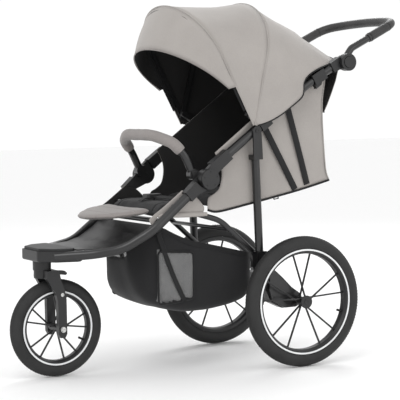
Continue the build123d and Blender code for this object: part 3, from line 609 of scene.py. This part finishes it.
def between(rows, parts, dip):  # extra rows between given ones, dipping towards the seat between them
    centre = at(0, -110, 800)
    out = []
    for a, b in zip(rows, rows[1:]):
        for n in range(parts):
            t = n / parts
            line = []
            for p, q in zip(a, b):
                point = p.lerp(q, t)
                high = max(min((point.z - 0.76) / 0.2, 1), 0)
                line.append(point + (centre - point).normalized() * 4 * t * (1 - t) * dip / 1000 * high)
            out.append(line)
    return out + [rows[-1]]


def makeCanopy():
    c = canopy
    n = c["across"]
    front = archRow(c["tip"], c["frontAngle"], c["half"], c["frontReach"], c["shoulder"], c["foot"], n)
    rear = archRow(c["tip"], c["rearAngle"], c["half"], c["rearReach"], c["shoulder"], c["foot"], n)
    middle = archRow(c["tip"], 52, c["half"], 391, 172, c["foot"], n)
    hem = hemRow(n)
    visorStart = archRow(c["tip"], c["frontAngle"], c["half"], c["frontReach"], c["shoulder"], 138, n)
    visorEnd = archRow(c["visorFoot"], c["visorAngle"], c["half"] - 6, c["visorReach"], 180, 8, n)
    sheets = (
        ("canopyFront", between([rear, front], 10, c["sag"]), "canopy_front_cloth", "canopy_rear"),
        ("canopyRear", between([hem, middle, rear], 8, c["sag"] * 0.35), "canopy_rear_cloth", "upper_frame"),
        ("canopyVisor", between([visorStart, visorEnd], 8, -3), "canopy_visor", "canopy_front"),
    )
    made = {}
    for name, rows, node, body in sheets:
        skin = gridPiece(name, rows)
        tidyNormals(skin)
        pointOut(skin, at(0, -110, 760))
        ripple(skin, 2.2, 0.075, (1, 1, 1), 3.0)
        # inner faces take the dark second material, which inside the canopy is painted shade
        finishPiece(name, skin, ("greyCloth", "blackLinerAndPaintedShade"), 55)
        thicken(skin, c["thickness"], -1, inner=1)
        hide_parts(node)
        made[name] = skin
    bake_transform(made["canopyFront"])
    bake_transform(made["canopyRear"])
    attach(made["canopyVisor"], "canopy_front")
    lines = (("canopyFrontPiping", front, "greyCloth", "canopy_front", 0.9),
             ("canopyRearPiping", rear, "greyCloth", "canopy_rear", 0.9),
             ("canopyVisorPiping", visorEnd, "greyPadCloth", "canopy_front", 1.0),
             ("canopyHemPiping", hem, "bindingTape", "upper_frame", 1.1))
    for name, row, finish, body, size in lines:
        seam = tubePiece(name, resample(row, 120), c["piping"] * size, 8)
        finishPiece(name, seam, finish, 60)
        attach(seam, body)
    for name, centre, angle, half, reach, body in (
            ("frontBowSleeve", c["tip"], 117.4, 226, 413, "canopy_front"),
            ("rearBowSleeve", c["tip"], 75.6, 226, 386, "canopy_rear")):
        row = resample(archRow(centre, angle, half, reach, 180, 60, n), 90)
        out = Vector((0, cos(radians(angle + 90)), sin(radians(angle + 90))))
        sleeve = bandPiece(name, row, 15, 1.4, out)
        finishPiece(name, sleeve, "blackCloth", 40)
        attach(sleeve, body)


def pointOut(piece, centre):  # turns the skin's faces away from a point inside
    away = sum((p.normal.dot(p.center - centre) > 0) * 2 - 1 for p in piece.data.polygons)
    if away < 0:
        piece.data.flip_normals()


makeCanopy()
print("canopy made")


# ---- Seat shell: side walls, back panel, flap and bindings ----

shell = {"wall": 191.6, "thickness": 1.8, "bulge": 5}


def shellEdges(x):
    bottom = [(x, -284, 489), (x, -248, 482.5), (x, -150, 499), (x, -60, 516), (x, 28, 533), (x, 95, 548),
              (x, 152, 562)]
    top = [(x, -256, 660), (x, -150, 738), (x, -50, 811), (x, 51, 884), (x, 100, 905), (x, 145, 925)]
    front = [(x, -284, 489), (x, -281, 524), (x, -262, 536), (x, -242, 553), (x, -233, 588), (x, -237, 624),
             (x, -256, 660)]
    rear = [(x, 152, 562), (x, 140, 596), (x, 133, 680), (x, 129, 760), (x, 130, 815),
            (x, 139, 870), (x, 145, 925)]
    return [[at(*p) for p in edge] for edge in (bottom, top, front, rear)]


def makeShell():
    for label, side in sides:
        bottom, top, front, rear = shellEdges(side * shell["wall"])
        wall = patchPiece("seatWall" + label, bottom, top, front, rear, 40, 30,
                          lambda u, v: Vector((-side * shell["bulge"] / 1000 * sin(pi * u) * sin(pi * v), 0, 0)))
        pointOut(wall, at(0, -50, 680))
        ripple(wall, 1.2, 0.06, (1, 1, 0.6), 5.0 + side)
        finishPiece("seatWall" + label, wall, ("greyCloth", "blackLinerAndPaintedShade"), 50)
        thicken(wall, shell["thickness"], -1, inner=1)
        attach(wall, "upper_frame")
        lower = tubePiece("seatBinding" + label, evenLine([p + Vector((side * 0.0006, 0, 0)) for p in bottom], 60),
                          3.4, 10)
        finishPiece("seatBinding" + label, lower, "bindingTape", 60)
        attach(lower, "upper_frame")
        seam = tubePiece("seatCornerPiping" + label,
                         evenLine([p + Vector((side * 0.0005, 0.0008, 0)) for p in rear], 60), 1.7, 8)
        finishPiece("seatCornerPiping" + label, seam, "greyCloth", 60)
        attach(seam, "upper_frame")
    rows = []
    for back, up, puff in ((152, 562, 0), (140, 596, 3), (135, 650, 6), (130, 700, 8), (129, 760, 8), (130, 815, 6),
                           (137, 860, 4), (143, 893, 0)):
        rows.append([at(x, back + puff * (1 - (x / 191) ** 2), up) for x in
                     [shell["wall"] * (2 * n / 32 - 1) for n in range(33)]])
    panel = gridPiece("seatBackPanel", rows)
    tidyNormals(panel)
    pointOut(panel, at(0, -50, 700))
    ripple(panel, 1.5, 0.07, (0.7, 1, 1), 9.0)
    finishPiece("seatBackPanel", panel, ("greyCloth", "blackLinerAndPaintedShade"), 50)
    thicken(panel, shell["thickness"], -1, inner=1)
    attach(panel, "upper_frame")
    flapRows = []
    for back, up in ((150, 775), (163, 800), (180, 835), (196, 872), (205, 905), (208, 934)):
        flapRows.append([at(x, back - 0.00018 * x * x, up) for x in [182 * (2 * n / 28 - 1) for n in range(29)]])
    flap = gridPiece("seatVentFlap", flapRows)
    tidyNormals(flap)
    pointOut(flap, at(0, -50, 700))
    ripple(flap, 2.0, 0.06, (1, 1, 1), 12.0)
    finishPiece("seatVentFlap", flap, ("greyCloth", "blackLinerAndPaintedShade"), 50)
    thicken(flap, 1.6, -1, inner=1)
    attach(flap, "upper_frame")
    edge = tubePiece("seatFlapEdge", resample(flapRows[0], 50), 2.2, 8)
    finishPiece("seatFlapEdge", edge, "bindingTape", 60)
    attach(edge, "upper_frame")
    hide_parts("seat_shell")
    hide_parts("seat_shell")
    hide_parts("seat_shell")


makeShell()


# ---- Recline straps, two on each side ----

straps = {"width": 21, "thickness": 1.3, "lane": 194.1}


def makeStraps():
    for label, side in sides:
        for n, (high, low) in enumerate((((-80, 728), (25, 538)), ((3, 786), (69, 552)))):
            line = []
            for k in range(13):
                t = k / 12
                x = side * (straps["lane"] + 0.8 * sin(pi * t))
                line.append(at(x, high[0] + (low[0] - high[0]) * t, high[1] + (low[1] - high[1]) * t))
            band = bandPiece(f"reclineStrap{label}{n + 1}", line, straps["width"], straps["thickness"], (0, 1, 0.3))
            finishPiece(band.name, band, "webbing", 40)
            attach(band, "upper_frame")
            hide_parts("recline_straps")


makeStraps()
print("seat shell made")


# ---- Lower side walls beside the cushion, with their padded roll ----

skirt = {"lane": 191.5, "thickness": 1.8, "roll": 8.2}
rollLine = ((-449, 474), (-436, 480), (-380, 479), (-330, 478), (-288, 477))


def makeSkirts():
    for label, side in sides:
        x = side * skirt["lane"]
        bottom = [at(x, *p) for p in ((-472, 452), (-458, 470), (-440, 486), (-370, 485), (-300, 482))]
        top = [at(x, *p) for p in ((-482, 470), (-462, 486), (-436, 503), (-403, 527), (-370, 552))]
        front = [at(x, -472, 452), at(x, -478, 460), at(x, -482, 470)]
        rear = [at(x, *p) for p in ((-300, 482), (-297, 500), (-328, 534), (-355, 545), (-370, 552))]
        wall = patchPiece("cushionWall" + label, bottom, top, front, rear, 24, 14)
        pointOut(wall, at(0, -380, 500))
        finishPiece("cushionWall" + label, wall, ("greyCloth", "blackLinerAndPaintedShade"), 50)
        thicken(wall, skirt["thickness"], -1, inner=1)
        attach(wall, "front_frame")
        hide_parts("seat_skirts")
        roll = tubePiece("cushionRoll" + label,
                         evenLine([at(x, *p) for p in rollLine], 40),
                         lambda t: skirt["roll"] * (0.55 + 0.45 * sin(pi * min(max(t, 0.03), 0.97)) ** 0.5), 16, 1.0)
        finishPiece("cushionRoll" + label, roll, "greyCloth", 60)
        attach(roll, "front_frame")
        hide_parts("seat_skirts")


makeSkirts()


# ---- Cushions: each swells from a slightly smaller shape, then gets its sewn lines ----

pads = {"voxel": 6, "pressure": 4, "cap": 6, "seamDepth": 2.6, "seamWidth": 4}


def makeCushion():
    outline = [(-445, 475), (-430, 476), (-350, 476.5), (-282, 477), (-278, 482), (-284, 503), (-296, 508),
               (-398, 508), (-424, 503), (-441, 486)]
    pad = prism("seatCushion", outline, -165, 165)
    inflate(pad, pads["voxel"], pads["pressure"], pads["cap"])
    for seam in (lambda p: abs(p.x) - 0.118, lambda p: abs(p.y - at(0, -348, 0).y)):
        channel(pad, seam, pads["seamDepth"], pads["seamWidth"], Vector((0, 0, 1)))
    finishPiece("seatCushion", pad, "blackCloth", 60)
    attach(pad, "front_frame")
    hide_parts("seat_cushion")


def makeBackrest():
    pivot, angle = (-262, 494), 9.6
    low, high = onward(pivot, angle, 10), onward(pivot, angle, 371)
    outline = [onward(low, 279.6, 2), onward(high, 279.6, 2), onward(high, 99.6, 16),
               onward(onward(low, angle, 14), 99.6, 16),
               onward(low, 99.6, 6)]
    pad = prism("seatBack", outline, -164, 164)
    inflate(pad, pads["voxel"], pads["pressure"], pads["cap"])
    along = Vector((0, cos(radians(angle)), sin(radians(angle))))
    start = at(0, *pivot)
    for reach in (0.095, 0.19, 0.285):
        channel(pad, lambda p, reach=reach: (p - start).dot(along) - reach, pads["seamDepth"], pads["seamWidth"],
                Vector((0, -sin(radians(angle)), cos(radians(angle)))))
    finishPiece("seatBack", pad, "blackCloth", 60)
    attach(pad, "backrest")
    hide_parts("backrest")


legRest = {"pivot": (-450, 490), "slope": 187, "thickness": 8, "voxel": 5, "cap": 5}


def makeLegRest():
    hinge, lie = legRest["pivot"], legRest["slope"]
    half = [(146, 2), (152, -22), (150, -58), (140, -88), (122, -112), (98, -132), (74, -148), (50, -161),
            (24, -170)]
    outline = half + [(-x, y) for x, y in half[::-1]]
    points = []
    for lift in (2.5 - legRest["thickness"] / 2, 2.5 + legRest["thickness"] / 2):
        for x, y in outline:
            where = onward(onward(hinge, lie, -y), lie - 90, lift)
            points.append(at(x, *where))
    n = len(outline)
    faces = [list(range(n)), list(range(n, 2 * n))[::-1]]
    faces += [(k, k + n, (k + 1) % n + n, (k + 1) % n) for k in range(n)]
    pad = newPiece("legRestPad", points, faces)
    tidyNormals(pad)
    inflate(pad, legRest["voxel"], pads["pressure"], legRest["cap"])
    up = Vector((0, cos(radians(lie - 90)), sin(radians(lie - 90))))
    for reach in (0.052, 0.112):
        flat = Vector((0, cos(radians(lie)), sin(radians(lie))))
        start = at(0, *hinge)
        channel(pad, lambda p, reach=reach: (p - start).dot(flat) - reach, 1.6, 3.2, up)
    finishPiece("legRestPad", pad, "greyPadCloth", 60)
    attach(pad, "leg_rest")
    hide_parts("leg_rest")


makeCushion()
makeBackrest()
makeLegRest()
print("cushions made")


# ---- Bumper sleeve ----

bumper = {"radius": 17.2, "wrinkle": 0.8}


def mirrorLine(left):
    return left + [Vector((-p.x, p.y, p.z)) for p in left[::-1] if abs(p.x) > 1e-6]


def makeBumper():
    foot, bend, crown = at(176, -352, 656), at(162, -384, 694), at(84, -414, 716)
    start = foot * 0.7 + bend * 0.3
    line = resample(roundedRun(mirrorLine([start, bend, crown]), [60, 120, 120, 60], 10), 110)
    sleeve = tubePiece("bumperSleeve", line,
                       lambda t: bumper["radius"] * (1 - 0.12 * exp(-(min(t, 1 - t) / 0.012) ** 2)), 24)
    ripple(sleeve, bumper["wrinkle"], 0.035, (1, 1, 1), 2.0)
    finishPiece("bumperSleeve", sleeve, "greyPadCloth", 60)
    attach(sleeve, "bumper")
    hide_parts("bumper_cover")
    inner = tubePiece("bumperSeam", [p + Vector((0, 0.006, -0.0163)) for p in line[4:-4]], 1.0, 6)
    finishPiece("bumperSeam", inner, "greyPadCloth", 60)
    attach(inner, "bumper")


makeBumper()


# ---- Handle grip with its end rings ----

grip = {"radius": 14.2}


def makeGrip():
    rise, corner = at(200, 236, 973), at(197, 398, 1052)
    start = rise * 0.6 + corner * 0.4
    left = [start, corner, at(120, 435, 1062), at(0, 441, 1065)]
    line = resample(roundedRun(mirrorLine(left), [70, 200, 600, 200, 70], 12), 160)
    sleeve = tubePiece("handleSleeve", line,
                       lambda t: grip["radius"] - 0.8 * exp(-(min(t, 1 - t) / 0.008) ** 2), 24)
    finishPiece("handleSleeve", sleeve, "gripLeather", 60)
    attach(sleeve, "handle")
    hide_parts("handle_grip")
    for share in (2, 22, 137, 157):
        ring = tubePiece(f"handleRing{share}", line[share:share + 2], grip["radius"] + 0.7, 24)
        finishPiece(ring.name, ring, "mouldedBlack", 40)
        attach(ring, "handle")


makeGrip()
print("sleeves made")


# ---- Basket: a cloth shell that sags between its tabs ----

basket = {"sag": 7, "thickness": 1.6, "front": -438, "rear": -318}
basketRim = [(-499, 372), (-480, 398), (-462, 416), (-428, 436), (-380, 412), (-330, 390), (-270, 377), (-216, 364),
             (-160, 350), (-108, 337)]
basketFloor = [(-499, 330), (-497, 300), (-484, 246), (-452, 214), (-400, 192), (-335, 178), (-262, 178), (-190, 187),
               (-130, 202), (-112, 222)]
strapLine = ((-436, 424), (-410, 350), (-386, 290), (-350, 214))
basketPlan = [(-499, 70), (-474, 124), (-440, 150), (-424, 157), (-300, 158), (-200, 158), (-130, 157), (-106, 140)]


def readAt(table, back):  # straight reading between a table's places
    for (b0, v0), (b1, v1) in zip(table, table[1:]):
        if back <= b1:
            return v0 + (v1 - v0) * max(min((back - b0) / (b1 - b0), 1), 0)
    return table[-1][1]


def basketSection(back, count=41):  # across one place: rim, wall, rounded corner, floor and up again
    half, rim, floor = readAt(basketPlan, back), readAt(basketRim, back), readAt(basketFloor, back)
    corner = min(34, (rim - floor) * 0.45)
    line = [(half, rim), (half, (rim + floor + corner) / 2), (half, floor + corner)]
    line += [(half - corner * (1 - cos(pi * n / 16)), floor + corner * (1 - sin(pi * n / 16))) for n in range(1, 9)]
    line += [(half * 0.45, floor - basket["sag"] * 0.5), (0, floor - basket["sag"] * 0.7)]
    full = line + [(-x, z) for x, z in line[:-1][::-1]]
    return resample([at(x, back, z) for x, z in full], count)


def makeBasket():
    places = [-498.5, -490, -478, -462, -450, -438, -422, -402, -378, -348, -318, -290, -260, -230, -200, -170,
              -145, -128,
              -116, -109]
    rows = [basketSection(b) for b in places]
    first = [Vector((p.x * 0.95, rows[0][0].y + 0.001, readAt(basketRim, -498) / 1000)) for p in rows[0]]
    last = [Vector((p.x * 0.98, rows[-1][0].y - 0.001, 0.337)) for p in rows[-1]]
    middleFront = [a.lerp(b, 0.5) for a, b in zip(first, rows[0])]
    middleRear = [a.lerp(b, 0.5) for a, b in zip(last, rows[-1])]
    bag = gridPiece("basketBag", [middleFront] + rows + [middleRear, last])
    tidyNormals(bag)
    pointOut(bag, at(0, -300, 290))
    finishOff(bag, "SUBSURF", levels=1, render_levels=1)
    ripple(bag, 3.0, 0.07, (1, 1, 1), 21.0)
    finishPiece("basketBag", bag, ("blackCloth", "openNet"), 60)
    for face in bag.data.polygons:
        back, up = (face.center.y - rearAxleY) * 1000, face.center.z * 1000
        taper = (back - basket["front"]) * 0.1
        inWindow = basket["front"] < back < basket["rear"] and 212 + taper < up < 372 - taper
        if inWindow and abs(face.center.x) > 0.14:
            face.material_index = 1
    thicken(bag, basket["thickness"], -1)
    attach(bag, "front_frame")
    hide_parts("basket")
    rim = [at(readAt(basketPlan, b), b, readAt(basketRim, b)) for b in places]
    for label, side in sides:
        line = [Vector((side * p.x + side * 0.0008, p.y, p.z)) for p in rim]
        edge = bandPiece("basketEdge" + label, evenLine(line, 60), 15, 2.4, (0, 0, 1))
        finishPiece(edge.name, edge, "bindingTape", 40)
        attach(edge, "front_frame")
        window = [at(side * 158.6, *p) for p in ((-378, 214), (-438, 210), (-438, 370), (-318, 362), (-318, 222),
                                                 (-378, 214))]
        hem = tubePiece("basketWindowEdge" + label, resample(roundedRun(window, [12, 12, 12, 12], 6), 80), 3.2, 8)
        finishPiece(hem.name, hem, "bindingTape", 50)
        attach(hem, "front_frame")
        strap = bandPiece("basketStrap" + label,
                          evenLine([at(side * 160.2, *p) for p in strapLine], 24), 15, 1.6, (0, 0.9, 0.4))
        finishPiece(strap.name, strap, "webbing", 40)
        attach(strap, "front_frame")
        for n, (high, low) in enumerate((((-440, 452), (-430, 422)), ((-115, 318), (-115, 302)))):
            inner = side * (157.5 if n == 0 else 156)
            outer = side * (157.5 if n == 0 else 193.2)
            tab = bandPiece(f"basketTab{label}{n + 1}",
                            [at(inner + (outer - inner) * k / 6, high[0] + (low[0] - high[0]) * (k / 6 if n == 0 else 0.5),
                                high[1] + (low[1] - high[1]) * (k / 6 if n == 0 else 0.5)) for k in range(7)],
                            14, 2.0, (0, 1, 0) if n == 0 else (0, 0, 1))
            finishPiece(tab.name, tab, "webbing", 40)
            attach(tab, "front_frame")


makeBasket()
print("basket made")


# ---- Harness: shoulder pads on the backrest, lap and crotch webbing at the buckle ----

harness = {"padWidth": 40, "padThickness": 7, "webbing": 25}


def makeHarness():
    pivot, angle = (-262, 494), 9.6
    low = onward(onward(pivot, angle, 60), 99.6, 24.5)
    for label, side in sides:
        line = [at(side * 65, *onward(low, angle, 200 * k / 20)) + Vector((0, 0, 0.0022 * sin(pi * k / 20)))
                for k in range(21)]
        pad = bandPiece("shoulderPad" + label, line, harness["padWidth"], harness["padThickness"], (1, 0, 0))
        finishOff(pad, "SUBSURF", levels=2, render_levels=2)
        finishPiece("shoulderPad" + label, pad, "blackCloth", 60)
        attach(pad, "backrest")
        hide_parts("shoulder_straps")
        tail = [at(side * 65, *onward(low, angle, d)) - Vector((0, 0, 0.002)) for d in (195, 215, 232)]
        strap = bandPiece("shoulderWebbing" + label, evenLine(tail, 8), harness["webbing"], 1.8, (1, 0, 0))
        finishPiece(strap.name, strap, "webbing", 40)
        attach(strap, "backrest")
        lap = [at(side * 152, -300, 514), at(side * 120, -322, 519), at(side * 70, -350, 523),
               at(side * 20, -370, 526)]
        belt = bandPiece("lapWebbing" + label, evenLine(lap, 24), harness["webbing"], 1.8, (0, 1, 0.2))
        finishPiece(belt.name, belt, "webbing", 40)
        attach(belt, "front_frame")
    crotch = [at(0, -414, 513.5), at(0, -404, 519), at(0, -392, 524), at(0, -384, 527)]
    strap = bandPiece("crotchWebbing", evenLine(crotch, 14), harness["webbing"], 1.8, (1, 0, 0))
    finishPiece(strap.name, strap, "webbing", 40)
    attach(strap, "front_frame")


makeHarness()
print("harness made")


# ---- Tyre treads: one block shaped, then copied round ----

tread = {"rows": (-11, -5.5, 0, 5.5, 11), "width": 4.4, "height": 1.6, "gap": 0.45, "sink": 0.9}
wheelPlaces = (
    ("frontTread", 0, (-704, 146), 20, "front_wheel"),
    ("rearTreadLeft", 268.5, (0, 199.5), 22, "rear_wheel_left"),
    ("rearTreadRight", -268.5, (0, 199.5), 22, "rear_wheel_right"),
)


def makeBlock(length):
    bpy.ops.object.select_all(action="DESELECT")
    bpy.ops.mesh.primitive_cube_add(size=1, location=(0, 0, 0))
    block = bpy.context.object
    block.scale = (tread["width"] / 1000, length / 1000, tread["height"] / 1000)
    bpy.ops.object.transform_apply(location=False, rotation=False, scale=True)
    bpy.ops.object.mode_set(mode="EDIT")
    bpy.ops.mesh.select_all(action="DESELECT")
    bpy.ops.object.mode_set(mode="OBJECT")
    for face in block.data.polygons:
        face.select = face.normal.z > 0.5
    bpy.ops.object.mode_set(mode="EDIT")
    bpy.ops.mesh.select_mode(type="FACE")
    bpy.ops.transform.resize(value=(0.78, 0.72, 1))
    bpy.ops.object.mode_set(mode="OBJECT")
    return block


def makeTread(name, x, place, section, body):
    count = round(2 * pi * place[1] / 9.5)
    block = makeBlock(2 * pi * place[1] / count * (1 - tread["gap"]))
    points, faces = [], []
    shape = [v.co.copy() for v in block.data.vertices]
    blockFaces = [tuple(p.vertices) for p in block.data.polygons]
    for n in range(count):
        for r, row in enumerate(tread["rows"]):
            around = 2 * pi * (n + 0.5 * (r % 2)) / count
            lean = atan2(row, section)
            centre = place[1] - section
            turn = Matrix.Rotation(around, 4, "X") @ Matrix.Translation((0, 0, centre / 1000))
            turn = turn @ Matrix.Rotation(lean, 4, "Y")
            turn = turn @ Matrix.Translation((0, 0, (section - tread["sink"] + 0.8) / 1000))
            start = len(points)
            points += [at(x, *place) + turn @ p for p in shape]
            faces += [tuple(start + k for k in face) for face in blockFaces]
    bpy.data.objects.remove(block)
    ring = newPiece(name, points, faces)
    finishPiece(name, ring, "tyreRubber", 30)
    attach(ring, body)


for wheel in wheelPlaces:
    makeTread(*wheel)
print("treads made")


# ---- Small fittings ----


def makeDisc(name, x, place, radius, depth, finish, slot, body, hexagon=False):  # turned head with a recess
    bpy.ops.object.select_all(action="DESELECT")
    side = 1 if x > 0 else -1
    bpy.ops.mesh.primitive_cylinder_add(vertices=6 if hexagon else 32, radius=radius / 1000, depth=depth / 1000,
                                        location=at(x + side * depth / 2, *place), rotation=(0, pi / 2, 0))
    head = bpy.context.object
    bpy.ops.object.transform_apply(location=True, rotation=True, scale=True)
    for face in head.data.polygons:
        face.select = face.normal.x * side > 0.9
    bpy.ops.object.mode_set(mode="EDIT")
    bpy.ops.mesh.select_mode(type="FACE")
    bpy.ops.mesh.inset(thickness=radius * 0.4 / 1000, depth=0)
    bpy.ops.mesh.inset(thickness=radius * 0.06 / 1000, depth=-depth * 0.5 / 1000)
    bpy.ops.object.mode_set(mode="OBJECT")
    finishOff(head, "BEVEL", width=min(radius, depth) * 0.12 / 1000, segments=2, limit_method="ANGLE")
    finishPiece(name, head, finish, 40)
    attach(head, body)


fittings = (  # name, place across, side place, radius, depth, finish, slot, body
    ("forkScrew", 51.5, (-704, 250), 5.5, 3.2, "brightSteel", "steel", "steering"),
    ("frontAxleNut", 56.8, (-704, 146), 7, 4, "brightSteel", "steel", "steering"),
    ("bumperRivet", 188.9, (-325, 597), 4.5, 1.6, "brightSteel", "steel", "bumper"),
    ("legRivet", 225.6, (-126.9, 722.9), 6.5, 2.4, "mouldedBlack", "plastic_black", "rear_frame"),
    ("linkRivet", 174.5, (-400, 503), 6, 2, "brightSteel", "steel", "folding_link"),
    ("canopyScrew", 227.6, (-145, 770), 5.5, 2.4, "mouldedBlack", "plastic_black", "upper_frame"),
    ("rearAxleCap", 293.2, (0, 199.5), 9, 1.5, "mouldedBlack", "plastic_black", "rear_wheel_"),
)
for label, side in sides:
    for name, across, *rest in fittings:
        if name == "rearAxleCap":
            rest[-1] += label.lower()
        makeDisc(name + label, side * across, *rest, hexagon=name == "frontAxleNut")
print("fittings made")
